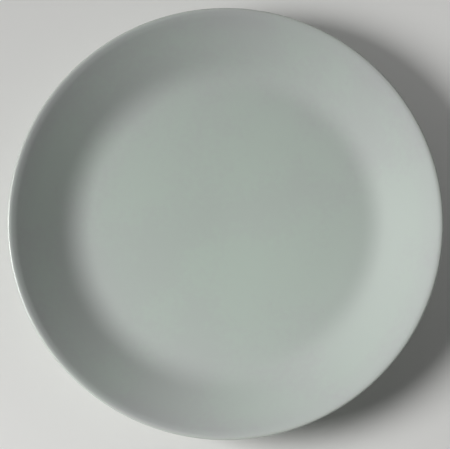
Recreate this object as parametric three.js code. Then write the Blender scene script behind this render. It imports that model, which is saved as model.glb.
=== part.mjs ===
// Bread and butter plate: a fired clay body that stands on a bare foot ring, a coat of glaze that wraps
// its face, lip and underside, and a second patch of glaze inside the foot ring.
// Millimetres, +Z up, origin at the centre of the circle that the foot ring stands on.
import * as THREE from "three";

// Overall sizes
const plateDiameter = 170; // over the glazed lip
const rimWidth = 31.5; // in plan, from the flat of the well to the edge of the glazed lip
const baseThickness = 4; // clay under the well
const rimThickness = 3; // clay where the lip starts

// Face of the rim, with slopes in degrees from level
const coveRadius = 24; // hollow between the well and the rim
const coveSlope = 35; // where the hollow meets the rim
const steepestSlope = 37; // where the rim starts to flare
const lipSlope = 25; // where the flare meets the lip
const flareWidth = 1.9; // in plan

// Lip of the clay
const crownRadius = 2.4; // from the flare to the lip's top
const noseRadius = 0.45; // from the lip's top to its upright edge
const underLipRadius = 1.6; // from the upright edge to the underside

// Foot ring of the clay
const footHeight = 2.4; // from the ground to the underside of the base
const footInset = 1.5; // level stretch between the cove's underside and the foot
const footContactWidth = 2.2; // flat that stands on the table
const footToeRadius = 0.6;
const footFilletRadius = 1.5;
const footDraft = 15; // degrees from upright, on both walls

// Glaze
const glazeThickness = 0.25;
const glazeGap = 0.02; // keeps the glaze and the clay apart as solids

// Fineness of the facets
const segments = 60; // round the plate
const coveSteps = 6;
const sweepSteps = 3;
const flareSteps = 2;
const crownSteps = 3;
const noseSteps = 4;
const underLipSteps = 3;
const filletSteps = 3;
const toeSteps = 2;

const radians = THREE.MathUtils.degToRad;
const steepest = radians(steepestSlope);

// A pen that draws half a section, r outwards and z up. Air lies on its left and clay on its right.
// Headings are in radians, anticlockwise from outwards.
class Pen {
  constructor(r, z, heading) {
    this.points = [{ r, z, heading }];
  }

  get tip() {
    return this.points.at(-1);
  }

  step(dr, dz, heading) {
    this.points.push({ r: this.tip.r + dr, z: this.tip.z + dz, heading });
  }

  straight(length) {
    const { heading } = this.tip;
    this.step(length * Math.cos(heading), length * Math.sin(heading), heading);
  }

  // A circular arc, by chords between points of the circle. A left turn is positive.
  arc(radius, turn, steps) {
    const share = turn / steps;
    const chord = 2 * radius * Math.sin(Math.abs(share) / 2);
    for (let i = 0; i < steps; i++) {
      const middle = this.tip.heading + share / 2;
      this.step(chord * Math.cos(middle), chord * Math.sin(middle), this.tip.heading + share);
    }
  }

  // A circular arc that ends at a given slope after a given distance outwards.
  bend(run, slope, steps) {
    const from = Math.sin(this.tip.heading);
    for (let i = 1; i <= steps; i++) {
      const heading = Math.asin(THREE.MathUtils.lerp(from, Math.sin(slope), i / steps));
      const middle = (this.tip.heading + heading) / 2;
      this.step(run / steps, (run / steps) * Math.tan(middle), heading);
    }
  }
}

// Section of the clay, from the middle of the well round the lip and the foot to the middle of the base.
function clayOutline() {
  const clayRadius = plateDiameter / 2 - glazeThickness - glazeGap;
  const wellRadius = plateDiameter / 2 - rimWidth;
  const slope = radians(lipSlope);
  const coveRun = coveRadius * Math.sin(radians(coveSlope));
  const lipRun = crownRadius * Math.sin(slope) + noseRadius;
  const sweepRun = clayRadius - wellRadius - coveRun - flareWidth - lipRun;

  const pen = new Pen(0, footHeight + baseThickness, 0);
  pen.straight(wellRadius);
  const coveStart = pen.points.length - 1;
  pen.arc(coveRadius, radians(coveSlope), coveSteps);
  pen.bend(sweepRun, steepest, sweepSteps);
  const backed = pen.points.slice(coveStart);
  pen.bend(flareWidth, slope, flareSteps);
  const under = undersideOf(backed);
  drawLip(pen, slope, under[0]);
  pen.points.push(...under.filter(({ r }) => r < pen.tip.r));
  const foot = drawFoot(pen);
  return { points: pen.points, ...foot };
}

// The lip: a gentle crown, a tight nose, an upright edge, and the radius that runs it into the underside.
function drawLip(pen, slope, underside) {
  pen.arc(crownRadius, -slope, crownSteps);
  pen.arc(noseRadius, -Math.PI / 2, noseSteps);
  const rise = Math.sin(steepest);
  const run = Math.cos(steepest);
  const depth = (pen.tip.z - underside.z) * run - (pen.tip.r - underside.r) * rise;
  pen.straight((depth - underLipRadius * (1 - rise)) / run);
  pen.arc(underLipRadius, steepest - Math.PI / 2, underLipSteps);
}

// The underside of a stretch of the face, from its outer end inwards. The clay thickens towards the well.
function undersideOf(face) {
  const inner = face[0];
  const outer = face.at(-1);
  const under = face.map(({ r, z, heading }) => {
    const share = (r - inner.r) / (outer.r - inner.r);
    const thickness = THREE.MathUtils.lerp(baseThickness, rimThickness, share);
    return {
      r: r + thickness * Math.sin(heading),
      z: z - thickness * Math.cos(heading),
      heading: heading + Math.PI,
    };
  });
  return under.reverse();
}

// The foot ring and the underside of the base within it. Returns where the glaze stops on each wall.
function drawFoot(pen) {
  const turn = radians(90 - footDraft);
  const roundedHeight = (footFilletRadius + footToeRadius) * (1 - Math.cos(turn));
  const wall = (footHeight - roundedHeight) / Math.sin(turn);
  pen.straight(footInset);
  pen.arc(footFilletRadius, turn, filletSteps);
  const coatEnd = pen.points.length;
  pen.straight(wall);
  pen.arc(footToeRadius, -turn, toeSteps);
  pen.straight(footContactWidth);
  pen.arc(footToeRadius, -turn, toeSteps);
  pen.straight(wall);
  const patchStart = pen.points.length - 1;
  pen.arc(footFilletRadius, turn, filletSteps);
  pen.straight(pen.tip.r);
  return { coatEnd, patchStart };
}

// The outline moved into the air by a distance, each stretch staying parallel to the clay.
function offsetOutline(points, distance) {
  const normals = points.slice(1).map((end, i) => {
    const along = new THREE.Vector2(end.r - points[i].r, end.z - points[i].z).normalize();
    return new THREE.Vector2(-along.y, along.x);
  });
  return points.map(({ r, z }, i) => {
    const before = normals[Math.max(i - 1, 0)];
    const after = normals[Math.min(i, normals.length - 1)];
    const mitre = before.clone().add(after);
    mitre.multiplyScalar(distance / (1 + before.dot(after)));
    return { r: r + mitre.x, z: z + mitre.y };
  });
}

// The section of a film of glaze on a stretch of the clay, as two lines that run the same way.
function glazeLines(stretch) {
  return {
    bonded: offsetOutline(stretch, glazeGap),
    open: offsetOutline(stretch, glazeGap + glazeThickness),
  };
}

// A named mesh turned from a section that starts at the axis on top and ends at the axis below.
// The lathe wants the section from the bottom up.
function turned(name, section, material) {
  const profile = section.map(({ r, z }) => new THREE.Vector2(Math.max(r, 0), z));
  const geometry = new THREE.LatheGeometry(profile.reverse(), segments);
  geometry.rotateX(Math.PI / 2);
  const mesh = new THREE.Mesh(geometry, material);
  mesh.name = name;
  return mesh;
}

const clay = new THREE.MeshStandardMaterial({ color: 0xcfcabd, roughness: 0.85, metalness: 0 });
const glaze = new THREE.MeshStandardMaterial({ color: 0xc0c9c1, roughness: 0.6, metalness: 0 });

const { points, coatEnd, patchStart } = clayOutline();
const coat = glazeLines(points.slice(0, coatEnd));
const patch = glazeLines(points.slice(patchStart));

const plate = new THREE.Group();
plate.add(turned("plate_body", points, clay));
plate.add(turned("glaze_coat", [...coat.open, ...coat.bonded.toReversed()], glaze));
plate.add(turned("base_glaze", [...patch.bonded.toReversed(), ...patch.open], glaze));

export default plate;
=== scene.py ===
import math

import bpy
import numpy as np
from mathutils import Matrix, Vector


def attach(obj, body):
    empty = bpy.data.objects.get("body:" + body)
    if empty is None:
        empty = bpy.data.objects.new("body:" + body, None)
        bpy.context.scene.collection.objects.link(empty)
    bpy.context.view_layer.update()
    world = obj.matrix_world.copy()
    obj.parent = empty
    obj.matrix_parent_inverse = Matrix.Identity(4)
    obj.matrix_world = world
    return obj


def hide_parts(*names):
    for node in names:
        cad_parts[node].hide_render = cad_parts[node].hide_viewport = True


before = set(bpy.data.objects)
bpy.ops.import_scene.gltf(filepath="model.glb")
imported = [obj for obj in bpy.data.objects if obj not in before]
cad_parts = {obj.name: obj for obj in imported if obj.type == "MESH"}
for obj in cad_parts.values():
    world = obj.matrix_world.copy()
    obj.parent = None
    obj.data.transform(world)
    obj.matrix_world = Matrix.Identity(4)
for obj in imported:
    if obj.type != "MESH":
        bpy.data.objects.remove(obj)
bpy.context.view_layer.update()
print("frame loaded:", ", ".join(sorted(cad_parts)))


# Half a section of the plate. Every row is (r, z, heading) in millimetres and radians.
# The air lies to the left of the heading, so the outward normal is (-sin, cos) of it.

plateForm = {
    "plateDiameter": 170.0,
    "rimWidth": 31.5,  # in plan, flat of the well to edge of the lip
    "baseThickness": 4.0,
    "rimThickness": 3.0,
    "coveRadius": 24.0,
    "coveEase": 0.7,  # how far the cove's turning gathers in its middle
    "coveSlope": 35.0,  # degrees from level
    "steepestSlope": 37.0,
    "lipSlope": 25.0,
    "flareWidth": 1.9,
    "crownRadius": 2.4,
    "noseRadius": 0.45,
    "underLipRadius": 1.6,
    "footHeight": 2.4,
    "footInset": 1.5,
    "footContactWidth": 2.2,
    "footToeRadius": 0.6,
    "footFilletRadius": 1.5,
    "footDraft": 15.0,
    "glazeThickness": 0.25,
    "glazeGap": 0.02,
}

plateSteps = {
    "around": 256,
    "well": 28,
    "cove": 22,
    "rim": 14,
    "flare": 10,
    "crown": 12,
    "nose": 14,
    "edge": 4,
    "underLip": 14,
    "bridge": 3,
    "inset": 3,
    "fillet": 10,
    "wall": 3,
    "toe": 8,
    "contact": 4,
    "base": 12,
}


def straightOn(line, length, count):  # equal steps along the last heading
    r, z, h = line[-1]
    t = np.linspace(0.0, length, count + 1)[1:]
    rows = np.column_stack([r + t * np.cos(h), z + t * np.sin(h), np.full(count, h)])
    return np.vstack([line, rows])


def arcOn(line, radius, turn, count):  # circle by its heading a: r + R (sin a - sin h), z + R (cos h - cos a)
    r, z, h = line[-1]
    bent = radius if turn > 0 else -radius
    a = h + np.linspace(0.0, turn, count + 1)[1:]
    rows = np.column_stack([r + bent * (np.sin(a) - np.sin(h)), z + bent * (np.cos(h) - np.cos(a)), a])
    return np.vstack([line, rows])


# An arc whose heading turns by t + e (3 t^2 - 2 t^3 - t), so fastest in its middle, over the circle's run.
def easedArcOn(line, radius, turn, ease, count):
    r, z, h = line[-1]
    t = np.linspace(0.0, 1.0, count + 1)
    a = h + turn * (t + ease * (3 * t**2 - 2 * t**3 - t))
    chord = (a[1:] + a[:-1]) / 2
    run, rise = np.cumsum(np.cos(chord)), np.cumsum(np.sin(chord))
    step = radius * (math.sin(h + turn) - math.sin(h)) / run[-1]
    return np.vstack([line, np.column_stack([r + step * run, z + step * rise, a[1:]])])


def bendOn(line, run, slope, count):  # the circle that reaches a slope after a run outwards
    h = line[-1, 2]
    return arcOn(line, abs(run / (math.sin(slope) - math.sin(h))), slope - h, count)


def bridgeTo(line, rows, count):  # equal steps across the straight gap to the next rows
    t = np.linspace(0.0, 1.0, count + 2)[1:-1, None]
    return np.vstack([line, line[-1] + t * (rows[0] - line[-1]), rows])


# The underside of the rim lies a thickness off the face along its normals, and thickens towards the well.
def underOf(face, form):
    share = (face[:, 0] - face[0, 0]) / (face[-1, 0] - face[0, 0])  # 0 at the well, 1 where the rim flares
    thick = form["baseThickness"] + share * (form["rimThickness"] - form["baseThickness"])
    return np.column_stack([
        face[:, 0] + thick * np.sin(face[:, 2]),
        face[:, 1] - thick * np.cos(face[:, 2]),
        face[:, 2] - math.pi,
    ])


# From the middle of the well out over the cove, the rim and its flare, round the lip and back underneath.
def rimSection(form, steps):
    radius = form["plateDiameter"] / 2 - form["glazeThickness"] - form["glazeGap"]
    well = form["plateDiameter"] / 2 - form["rimWidth"]
    cove, steep, lip = (math.radians(form[k]) for k in ("coveSlope", "steepestSlope", "lipSlope"))
    crown, nose, underLip = (form[k] for k in ("crownRadius", "noseRadius", "underLipRadius"))
    sweepRun = radius - well - form["coveRadius"] * math.sin(cove) - form["flareWidth"]
    sweepRun -= crown * math.sin(lip) + nose

    line = np.array([[0.0, form["footHeight"] + form["baseThickness"], 0.0]])
    line = straightOn(line, well, steps["well"])
    coveStart = len(line) - 1
    line = easedArcOn(line, form["coveRadius"], cove, form["coveEase"], steps["cove"])
    line = bendOn(line, sweepRun, steep, steps["rim"])
    under = underOf(line[coveStart:], form)
    line = bendOn(line, form["flareWidth"], lip, steps["flare"])
    line = arcOn(line, crown, -lip, steps["crown"])
    crest = len(line) - 1
    line = arcOn(line, nose, -math.pi / 2, steps["nose"])

    # the upright edge is as long as the radius under it leaves it, measured square to the underside
    drop = line[-1, 1] - under[-1, 1]
    square = drop * math.cos(steep) - (line[-1, 0] - under[-1, 0]) * math.sin(steep)
    line = straightOn(line, (square - underLip * (1 - math.sin(steep))) / math.cos(steep), steps["edge"])
    line = arcOn(line, underLip, steep - math.pi / 2, steps["underLip"])
    line = bridgeTo(line, under[under[:, 0] < line[-1, 0]][::-1], steps["bridge"])
    return line, crest


# On down the outer wall of the foot ring, across its flat, up the inner wall and in along the base.
def footSection(line, form, steps):
    fillet, toe = form["footFilletRadius"], form["footToeRadius"]
    turn = math.radians(90 - form["footDraft"])
    wall = (form["footHeight"] - (fillet + toe) * (1 - math.cos(turn))) / math.sin(turn)
    line = straightOn(line, form["footInset"], steps["inset"])
    line = arcOn(line, fillet, turn, steps["fillet"])
    coatEnd = len(line)
    line = straightOn(line, wall, steps["wall"])
    line = arcOn(line, toe, -turn, steps["toe"])
    line = straightOn(line, form["footContactWidth"], steps["contact"])
    line = arcOn(line, toe, -turn, steps["toe"])
    line = straightOn(line, wall, steps["wall"])
    patchStart = len(line) - 1
    line = arcOn(line, fillet, turn, steps["fillet"])
    line = straightOn(line, line[-1, 0], steps["base"])
    return line, coatEnd, patchStart


def airSide(line, gap):  # the line moved along its normals, (r - g sin h, z + g cos h)
    return np.column_stack([line[:, 0] - gap * np.sin(line[:, 2]), line[:, 1] + gap * np.cos(line[:, 2])])


# Turned meshes, with a slight kiln warp that all three share

kilnWarp = {
    "sagDepth": 0.6,  # the well hangs a little between the foot ring
    "sagRadius": 39.5,
    "sagTip": 3.0,  # rounds the middle of the hollow
    "sagEase": 1.6,
    "start": 50.0,  # radius where the rim's warp begins, so that the foot stays level
    "ovalHeight": 0.10,  # lift of the lip, two lobes
    "ovalTurn": 0.6,
    "waveHeight": 0.05,  # lift of the lip, three lobes
    "waveTurn": 2.0,
    "ovalRadius": 0.445,  # out of round, two lobes
    "ovalRadiusTurn": 0.71,
}


def sagged(r):  # a shallow cone that runs out gently: depth (1 - r / R) ^ ease
    w = kilnWarp
    share = np.maximum(1 - np.hypot(r, w["sagTip"]) / w["sagRadius"], 0.0)
    return w["sagDepth"] * share ** w["sagEase"]


def warped(r, z, phi):  # the rim lifts and spreads by cosines of the angle, as the square of its distance out
    w = kilnWarp
    out = np.maximum((r - w["start"]) / (plateForm["plateDiameter"] / 2 - w["start"]), 0.0) ** 2
    lift = w["ovalHeight"] * np.cos(2 * phi + w["ovalTurn"])
    lift = lift + w["waveHeight"] * np.cos(3 * phi + w["waveTurn"])
    spread = w["ovalRadius"] * np.cos(2 * phi + w["ovalRadiusTurn"])
    wide = r + out * spread
    return wide * np.cos(phi), wide * np.sin(phi), z - sagged(r) + out * lift


# A section turned about Z: (r cos phi, r sin phi, z), closed by a point at each end on the axis.
# The layers are values along the section, kept as attributes for the finish.
def turnedPiece(name, section, layers):
    segments = plateSteps["around"]
    phi = np.arange(segments) * 2 * math.pi / segments
    body = section[1:-1]
    grid = np.stack(warped(body[:, :1], body[:, 1:2], phi[None, :]), axis=-1).reshape(-1, 3)
    ends = np.array([[0.0, 0.0, section[i, 1] - sagged(0.0)] for i in (0, -1)])
    points = np.vstack([grid, ends]) * 0.001  # millimetres to metres

    rows = len(body)
    here = np.arange(segments)
    after = (here + 1) % segments
    first = np.arange(rows - 1)[:, None] * segments
    second = first + segments
    quads = np.stack([first + here, second + here, second + after, first + after], axis=-1)
    top = np.stack([np.full(segments, rows * segments), here, after], axis=-1)
    last = (rows - 1) * segments
    bottom = np.stack([np.full(segments, rows * segments + 1), last + after, last + here], axis=-1)
    faces = quads.reshape(-1, 4).tolist() + top.tolist() + bottom.tolist()

    mesh = bpy.data.meshes.new(name)
    mesh.from_pydata(points.tolist(), [], faces)
    mesh.polygons.foreach_set("use_smooth", np.ones(len(mesh.polygons), dtype=bool))
    for key, values in layers.items():
        layer = mesh.attributes.new(key, "FLOAT", "POINT")
        spread = np.concatenate([np.repeat(values[1:-1], segments), values[[0, -1]]])
        layer.data.foreach_set("value", spread.astype(np.float32))
    mesh.update()
    piece = bpy.data.objects.new(name, mesh)
    bpy.context.collection.objects.link(piece)
    print("made", name, len(mesh.polygons), "faces")
    return piece


# Shader helpers

def feed(tree, socket, value):  # an output socket is linked, anything else is set
    if isinstance(value, bpy.types.NodeSocket):
        tree.links.new(value, socket)
    else:
        socket.default_value = value


def addNode(tree, kind, values=None, **settings):
    made = tree.nodes.new("ShaderNode" + kind)
    for key, value in settings.items():
        setattr(made, key, value)
    for key, value in (values or {}).items():
        feed(tree, made.inputs[key], value)
    return made


def combine(tree, operation, a, b):
    return addNode(tree, "Math", {0: a, 1: b}, operation=operation).outputs[0]


def combineVectors(tree, operation, a, b):
    return addNode(tree, "VectorMath", {0: a, 1: b}, operation=operation).outputs


def spanOf(tree, value, low, high, toLow=0.0, toHigh=1.0):  # the value's span mapped smoothly onto another
    values = {0: value, 1: low, 2: high, 3: toLow, 4: toHigh}
    return addNode(tree, "MapRange", values, interpolation_type="SMOOTHSTEP").outputs[0]


def mixValue(tree, factor, a, b):
    return addNode(tree, "Mix", {0: factor, 2: a, 3: b}).outputs[0]


def mixColour(tree, factor, a, b, clamped=True):
    return addNode(tree, "Mix", {0: factor, 6: a, 7: b}, data_type="RGBA", clamp_factor=clamped).outputs[2]


def noiseOf(tree, place, scale, detail):
    return addNode(tree, "TexNoise", {"Vector": place, "Scale": scale, "Detail": detail}).outputs


def newGroup(name, inputs, outputs):
    tree = bpy.data.node_groups.new(name, "ShaderNodeTree")
    tree.interface.new_socket("Vector", in_out="INPUT", socket_type="NodeSocketVector")
    for label, value in inputs.items():
        socket = tree.interface.new_socket(label, in_out="INPUT", socket_type="NodeSocketFloat")
        socket.default_value = value
    for label in outputs:
        tree.interface.new_socket(label, in_out="OUTPUT", socket_type="NodeSocketFloat")
    return tree, tree.nodes.new("NodeGroupInput").outputs, tree.nodes.new("NodeGroupOutput").inputs


def placeGroup(tree, group, values):
    made = tree.nodes.new("ShaderNodeGroup")
    made.node_tree = group
    for key, value in values.items():
        feed(tree, made.inputs[key], value)
    return made.outputs


def newMaterial(name):
    made = bpy.data.materials.new(name)
    made.use_nodes = True
    tree = made.node_tree
    tree.nodes.clear()
    shader = tree.nodes.new("ShaderNodeBsdfPrincipled")
    output = tree.nodes.new("ShaderNodeOutputMaterial")
    tree.links.new(shader.outputs[0], output.inputs[0])
    place = addNode(tree, "TexCoord").outputs["Object"]
    return made, tree, shader, place


# Shared effects

def firingMottle():  # slow and fine noise mixed by a share, a value round 0.5
    inputs = {"Slow Scale": 18.0, "Fine Scale": 140.0, "Fine Share": 0.3}
    tree, given, out = newGroup("firing_mottle", inputs, ["Value"])
    slow = noiseOf(tree, given["Vector"], given["Slow Scale"], detail=3.0)[0]
    fine = noiseOf(tree, given["Vector"], given["Fine Scale"], detail=2.0)[0]
    feed(tree, out["Value"], mixValue(tree, given["Fine Share"], slow, fine))
    return tree


# A round spot in a few cells of a cell pattern, each of its own size and soft from its core out.
def strayGrains():
    inputs = {"Scale": 60.0, "Share": 0.06, "Radius": 0.03, "Least": 0.5, "Most": 1.3, "Core": 0.5}
    tree, given, out = newGroup("stray_grains", inputs, ["Mask"])
    cells = addNode(tree, "TexVoronoi", {"Vector": given["Vector"], "Scale": given["Scale"]}).outputs
    pick = addNode(tree, "SeparateColor", {0: cells["Color"]}).outputs
    chosen = combine(tree, "LESS_THAN", pick[0], given["Share"])
    swell = spanOf(tree, pick[1], 0.0, 1.0, given["Least"], given["Most"])
    size = combine(tree, "MULTIPLY", given["Radius"], swell)
    spot = spanOf(tree, cells["Distance"], size, combine(tree, "MULTIPLY", size, given["Core"]))
    feed(tree, out["Mask"], combine(tree, "MULTIPLY", chosen, spot))
    return tree


# Hair lines in patches: a noise bent by a slow one, turned, drawn out long and cut near its top.
def useMarks():
    inputs = {
        "Turn": 0.0,
        "Along": 14.0,
        "Across": 900.0,
        "Cut Low": 0.70,
        "Cut High": 0.76,
        "Sway": 0.02,  # metres
        "Sway Scale": 9.0,
        "Patch Scale": 22.0,
        "Patch Low": 0.5,
        "Patch High": 0.65,
    }
    tree, given, out = newGroup("use_marks", inputs, ["Mask"])
    swayBy = addNode(tree, "CombineXYZ", {0: given["Sway"], 1: given["Sway"]}).outputs[0]
    slow = noiseOf(tree, given["Vector"], given["Sway Scale"], detail=1.0)["Color"]
    sway = combineVectors(tree, "MULTIPLY", slow, swayBy)["Vector"]
    bent = combineVectors(tree, "ADD", given["Vector"], sway)["Vector"]
    turned = addNode(tree, "VectorRotate", {"Vector": bent, "Angle": given["Turn"]}, rotation_type="Z_AXIS")
    stretch = addNode(tree, "CombineXYZ", {0: given["Along"], 1: given["Across"], 2: given["Along"]})
    drawn = combineVectors(tree, "MULTIPLY", turned.outputs[0], stretch.outputs[0])["Vector"]
    line = noiseOf(tree, drawn, 1.0, detail=1.0)[0]
    line = spanOf(tree, line, given["Cut Low"], given["Cut High"])
    patch = noiseOf(tree, given["Vector"], given["Patch Scale"], detail=2.0)[0]
    patch = spanOf(tree, patch, given["Patch Low"], given["Patch High"])
    feed(tree, out["Mask"], combine(tree, "MULTIPLY", line, patch))
    return tree


mottle = firingMottle()
grains = strayGrains()
marks = useMarks()


def cloudOf(tree, place, look):  # a finish's mottle, stretched to run from 0 to 1
    cloud = placeGroup(tree, mottle, {
        "Vector": place,
        "Slow Scale": look["slowScale"],
        "Fine Scale": look["fineScale"],
        "Fine Share": look["fineShare"],
    })["Value"]
    return spanOf(tree, cloud, look["cloudLow"], look["cloudHigh"])


def spotsOf(tree, place, look):  # a finish's stray grains
    return placeGroup(tree, grains, {
        "Vector": place,
        "Scale": look["spotScale"],
        "Share": look["spotShare"],
        "Radius": look["spotRadius"],
    })["Mask"]


def finishWith(tree, shader, colour, rough, height, look):
    values = {"Height": height, "Strength": look["bumpStrength"], "Distance": look["bumpDistance"]}
    feed(tree, shader.inputs["Base Color"], colour)
    feed(tree, shader.inputs["Roughness"], rough)
    feed(tree, shader.inputs["Normal"], addNode(tree, "Bump", values).outputs[0])


# Glaze

glazeLook = {
    "runRadius": (20.0, 46.0, 60.0, 75.0, 81.0),
    "runDepth": (1.1, 0.8, 0.3, 0.4, 0.0),  # it pools in the well and runs off the cove and the lip
    "depthBelow": 0.5,
    "noseInside": 0.35,  # how far the thin glaze of the lip reaches on each side of its top
    "noseOutside": 1.1,
    "pooled": (0.534, 0.609, 0.551, 1.0),  # greener where it is deep
    "thin": (0.518, 0.551, 0.530, 1.0),
    "mottle": 0.5,  # how far the firing moves the glaze between the two
    "slowScale": 26.0,
    "fineScale": 420.0,
    "fineShare": 0.25,
    "cloudLow": 0.36,
    "cloudHigh": 0.64,
    "clayTint": (0.610, 0.585, 0.505, 1.0),  # clay that shows through on the lip
    "tintShare": 0.12,
    "nib": (0.68, 0.72, 0.68, 1.0),
    "nibShare": 0.5,
    "nibHeight": 0.25,
    "spotScale": 60.0,
    "spotShare": 0.02,
    "spotRadius": 0.030,
    "hairs": ((0.5, 14.0, 900.0), (2.1, 20.0, 1100.0)),  # turn, scale along and scale across
    "hairStart": 0.6,  # depth of glaze where the marks of use begin
    "hairFull": 0.9,
    "hairShare": 0.10,
    "gloss": 0.57,
    "dullGloss": 0.63,
    "wornGloss": 0.66,
    "lipGloss": 0.27,
    "lipPolish": 0.25,  # the fire leaves the tight nose of the lip shiny
    "lipIndex": 1.6,
    "index": 1.5,
    "shine": 0.35,
    "peel": 0.06,
    "peelScale": 260.0,
    "peelDetail": 1.5,
    "bumpStrength": 0.25,
    "bumpDistance": 0.0002,  # metres
}


# The colour runs from thin to pooled with the depth of the glaze and the mottle. On the coat, the nose of the
# lip is shinier and takes some of the clay's tint, and the well has hair lines of use.
def glazeFinish(name, look, isCoat):
    made, tree, shader, place = newMaterial(name)
    cloud = cloudOf(tree, place, look)
    nib = spotsOf(tree, place, look)
    depth = look["depthBelow"]
    if isCoat:
        depth = addNode(tree, "Attribute", attribute_name="depth").outputs["Fac"]
    shift = spanOf(tree, cloud, 0.0, 1.0, -look["mottle"] / 2, look["mottle"] / 2)
    depth = combine(tree, "ADD", depth, shift)
    colour = mixColour(tree, depth, look["thin"], look["pooled"], clamped=False)
    gloss = spanOf(tree, cloud, 0.0, 1.0, look["dullGloss"], look["gloss"])
    if isCoat:
        nose = addNode(tree, "Attribute", attribute_name="thinness").outputs["Fac"]
        colour = mixColour(tree, combine(tree, "MULTIPLY", nose, look["tintShare"]), colour, look["clayTint"])
        gloss = mixValue(tree, nose, gloss, look["lipGloss"])
        feed(tree, shader.inputs["Coat Weight"], nose)
        shader.inputs["Coat Roughness"].default_value = look["lipPolish"]
        shader.inputs["Coat IOR"].default_value = look["lipIndex"]
        hairs = [
            placeGroup(tree, marks, {"Vector": place, "Turn": turn, "Along": along, "Across": across})["Mask"]
            for turn, along, across in look["hairs"]
        ]
        used = spanOf(tree, depth, look["hairStart"], look["hairFull"])
        hair = combine(tree, "MULTIPLY", combine(tree, "MAXIMUM", *hairs), used)
        gloss = mixValue(tree, hair, gloss, look["wornGloss"])
        colour = mixColour(tree, combine(tree, "MULTIPLY", hair, look["hairShare"]), colour, look["thin"])
    colour = mixColour(tree, combine(tree, "MULTIPLY", nib, look["nibShare"]), colour, look["nib"])
    peel = noiseOf(tree, place, look["peelScale"], look["peelDetail"])[0]
    peel = combine(tree, "MULTIPLY", peel, look["peel"])
    height = combine(tree, "ADD", peel, combine(tree, "MULTIPLY", nib, look["nibHeight"]))
    finishWith(tree, shader, colour, gloss, height, look)
    shader.inputs["IOR"].default_value = look["index"]
    shader.inputs["Specular IOR Level"].default_value = look["shine"]
    return made


rimLine, crest = rimSection(plateForm, plateSteps)
clayLine, coatEnd, patchStart = footSection(rimLine, plateForm, plateSteps)
bonded = plateForm["glazeGap"]
outside = bonded + plateForm["glazeThickness"]

coatLine = clayLine[:coatEnd]
coatSection = np.vstack([airSide(coatLine, outside), airSide(coatLine, bonded)[::-1]])
pastCrest = np.arange(coatEnd) > crest
fromCrest = np.hypot(coatLine[:, 0] - coatLine[crest, 0], coatLine[:, 1] - coatLine[crest, 1])
reach = np.where(pastCrest, glazeLook["noseOutside"], glazeLook["noseInside"])
thinness = np.exp(-((fromCrest / reach) ** 2))  # bell curve over the nose of the lip
glazeDepth = np.interp(coatLine[:, 0], glazeLook["runRadius"], glazeLook["runDepth"])
glazeDepth = np.where(pastCrest, glazeLook["depthBelow"], glazeDepth)
glazeSkin = turnedPiece("glaze_skin", coatSection, {
    "thinness": np.concatenate([thinness, thinness[::-1]]),
    "depth": np.concatenate([glazeDepth, glazeDepth[::-1]]),
})
glazeSkin.data.materials.append(glazeFinish("fired_glaze", glazeLook, True))

patchLine = clayLine[patchStart:]
patchSection = np.vstack([airSide(patchLine, bonded)[::-1], airSide(patchLine, outside)])
baseSkin = turnedPiece("base_glaze_skin", patchSection, {})
baseSkin.data.materials.append(glazeFinish("base_glaze", glazeLook, False))


# Clay

clayLook = {
    "pale": (0.66, 0.62, 0.53, 1.0),
    "dark": (0.52, 0.47, 0.38, 1.0),
    "slowScale": 60.0,
    "fineScale": 900.0,
    "fineShare": 0.5,
    "cloudLow": 0.32,
    "cloudHigh": 0.68,
    "grain": (0.24, 0.20, 0.15, 1.0),
    "grainDepth": 0.8,
    "spotScale": 420.0,
    "spotShare": 0.10,
    "spotRadius": 0.16,
    "rough": 0.82,
    "rubbed": 0.55,
    "sandScale": 2600.0,
    "sandDetail": 2.0,
    "bumpStrength": 0.5,
    "bumpDistance": 0.0002,  # metres
}


# Pale and dark clay clouded together, with dark grains that sit a little below the sandy surface.
def clayFinish(name, look):
    made, tree, shader, place = newMaterial(name)
    cloud = cloudOf(tree, place, look)
    grain = spotsOf(tree, place, look)
    colour = mixColour(tree, cloud, look["dark"], look["pale"])
    colour = mixColour(tree, grain, colour, look["grain"])
    rough = spanOf(tree, cloud, 0.0, 1.0, look["rough"], look["rubbed"])
    sand = noiseOf(tree, place, look["sandScale"], look["sandDetail"])[0]
    height = combine(tree, "SUBTRACT", sand, combine(tree, "MULTIPLY", grain, look["grainDepth"]))
    finishWith(tree, shader, colour, rough, height, look)
    return made


firedClay = turnedPiece("fired_clay", clayLine[:, :2], {})
firedClay.data.materials.append(clayFinish("bare_clay", clayLook))

for piece, cadNode, finish in (
    (glazeSkin, "glaze_coat", "glaze"),
    (baseSkin, "base_glaze", "glaze"),
    (firedClay, "plate_body", "clay"),
):
    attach(piece, "root")
    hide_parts(cadNode)
print("pieces finished and placed")


# Floor, light and camera

studio = {
    "floor": (0.78, 0.78, 0.76, 1.0),
    "floorRough": 0.9,
    "floorSize": 6.0,
    "floorGlow": (0.52, 0.52, 0.51, 1.0),  # painted light: a glow seen on the floor where the key lamp does not reach
    "glowMiddle": (-0.25, -0.5, 0.0),
    "glowStart": 0.45,
    "glowFull": 1.10,
    "sky": 0.08,  # fill light on the plate
    "backdrop": 0.62,  # what is seen of the sky
    "keyPlace": (-0.962, -0.110, 0.867),
    "keyAim": (0.027, -0.795, 0.0),  # beside the plate, so that the light falls off towards its far side
    "keySize": 0.70,
    "keySpread": 100.0,  # degrees
    "keyPower": 9.67,
}


# 1 for rays of the camera, of mirrors and through glass. What it drives is seen, and casts no light.
def seenRay(tree):
    path = addNode(tree, "LightPath").outputs
    seen = combine(tree, "MAXIMUM", path["Is Camera Ray"], path["Is Glossy Ray"])
    return combine(tree, "MAXIMUM", seen, path["Is Transmission Ray"])


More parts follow.
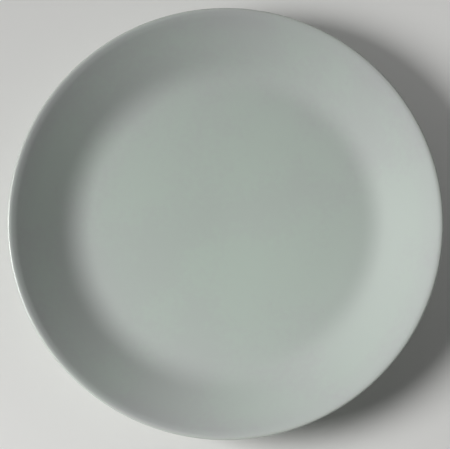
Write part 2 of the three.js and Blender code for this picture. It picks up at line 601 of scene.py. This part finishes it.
half = studio["floorSize"] / 2
corners = [(-half, -half, 0), (half, -half, 0), (half, half, 0), (-half, half, 0)]
floorMesh = bpy.data.meshes.new("studio_floor")
floorMesh.from_pydata(corners, [], [(0, 1, 2, 3)])
floor = bpy.data.objects.new("studio_floor", floorMesh)
bpy.context.collection.objects.link(floor)
floorFinish, floorTree, floorShader, floorPlace = newMaterial("studio_floor")
floorShader.inputs["Base Color"].default_value = studio["floor"]
floorShader.inputs["Roughness"].default_value = studio["floorRough"]
# painted light: the floor glows for the camera and in mirrors, more the further it lies from where the key
# lamp shines
away = combineVectors(floorTree, "DISTANCE", floorPlace, studio["glowMiddle"])["Value"]
away = spanOf(floorTree, away, studio["glowStart"], studio["glowFull"])
shown = combine(floorTree, "MULTIPLY", away, seenRay(floorTree))
floorGlow = mixColour(floorTree, shown, (0.0, 0.0, 0.0, 1.0), studio["floorGlow"])
feed(floorTree, floorShader.inputs["Emission Color"], floorGlow)
floorShader.inputs["Emission Strength"].default_value = 1.0
below = addNode(floorTree, "NewGeometry").outputs["Backfacing"]  # the floor can be seen through from below
feed(floorTree, floorShader.inputs["Alpha"], combine(floorTree, "SUBTRACT", 1.0, below))
floorMesh.materials.append(floorFinish)

lamp = bpy.data.lights.new("key_lamp", "AREA")
lamp.shape = "DISK"
lamp.size = studio["keySize"]
lamp.spread = math.radians(studio["keySpread"])
lamp.energy = studio["keyPower"]
keyLamp = bpy.data.objects.new("key_lamp", lamp)
keyLamp.location = studio["keyPlace"]
toAim = Vector(studio["keyAim"]) - Vector(studio["keyPlace"])
keyLamp.rotation_euler = toAim.to_track_quat("-Z", "Y").to_euler()
bpy.context.collection.objects.link(keyLamp)

world = bpy.data.worlds.new("studio")
bpy.context.scene.world = world
world.use_nodes = True
sky = world.node_tree
sky.nodes.clear()
strength = mixValue(sky, seenRay(sky), studio["sky"], studio["backdrop"])
glow = addNode(sky, "Background", {"Color": (1.0, 1.0, 1.0, 1.0), "Strength": strength})
sky.links.new(glow.outputs[0], sky.nodes.new("ShaderNodeOutputWorld").inputs[0])

photoView = {
    "aim": (0.00063, -0.00112, 0.0226),  # middle of the lip, off by the framing
    "distance": 0.70,
    "tiltDown": 4.9,  # degrees off straight above, towards the near side
    "tiltSide": 4.3,  # and to the right
    "lens": 143.6,
}

camera = bpy.data.cameras.new("photo_camera")
camera.lens = photoView["lens"]
viewer = bpy.data.objects.new("photo_camera", camera)
bpy.context.collection.objects.link(viewer)
sideways, nearwards = (math.tan(math.radians(photoView[k])) for k in ("tiltSide", "tiltDown"))
back = Vector((sideways, -nearwards, 1.0)).normalized()
right = Vector((0.0, 1.0, 0.0)).cross(back).normalized()
turn = Matrix((right, back.cross(right), back)).transposed().to_4x4()
viewer.matrix_world = Matrix.Translation(Vector(photoView["aim"]) + back * photoView["distance"]) @ turn
bpy.context.scene.camera = viewer
bpy.context.scene.view_settings.view_transform = "Standard"
print("studio ready")
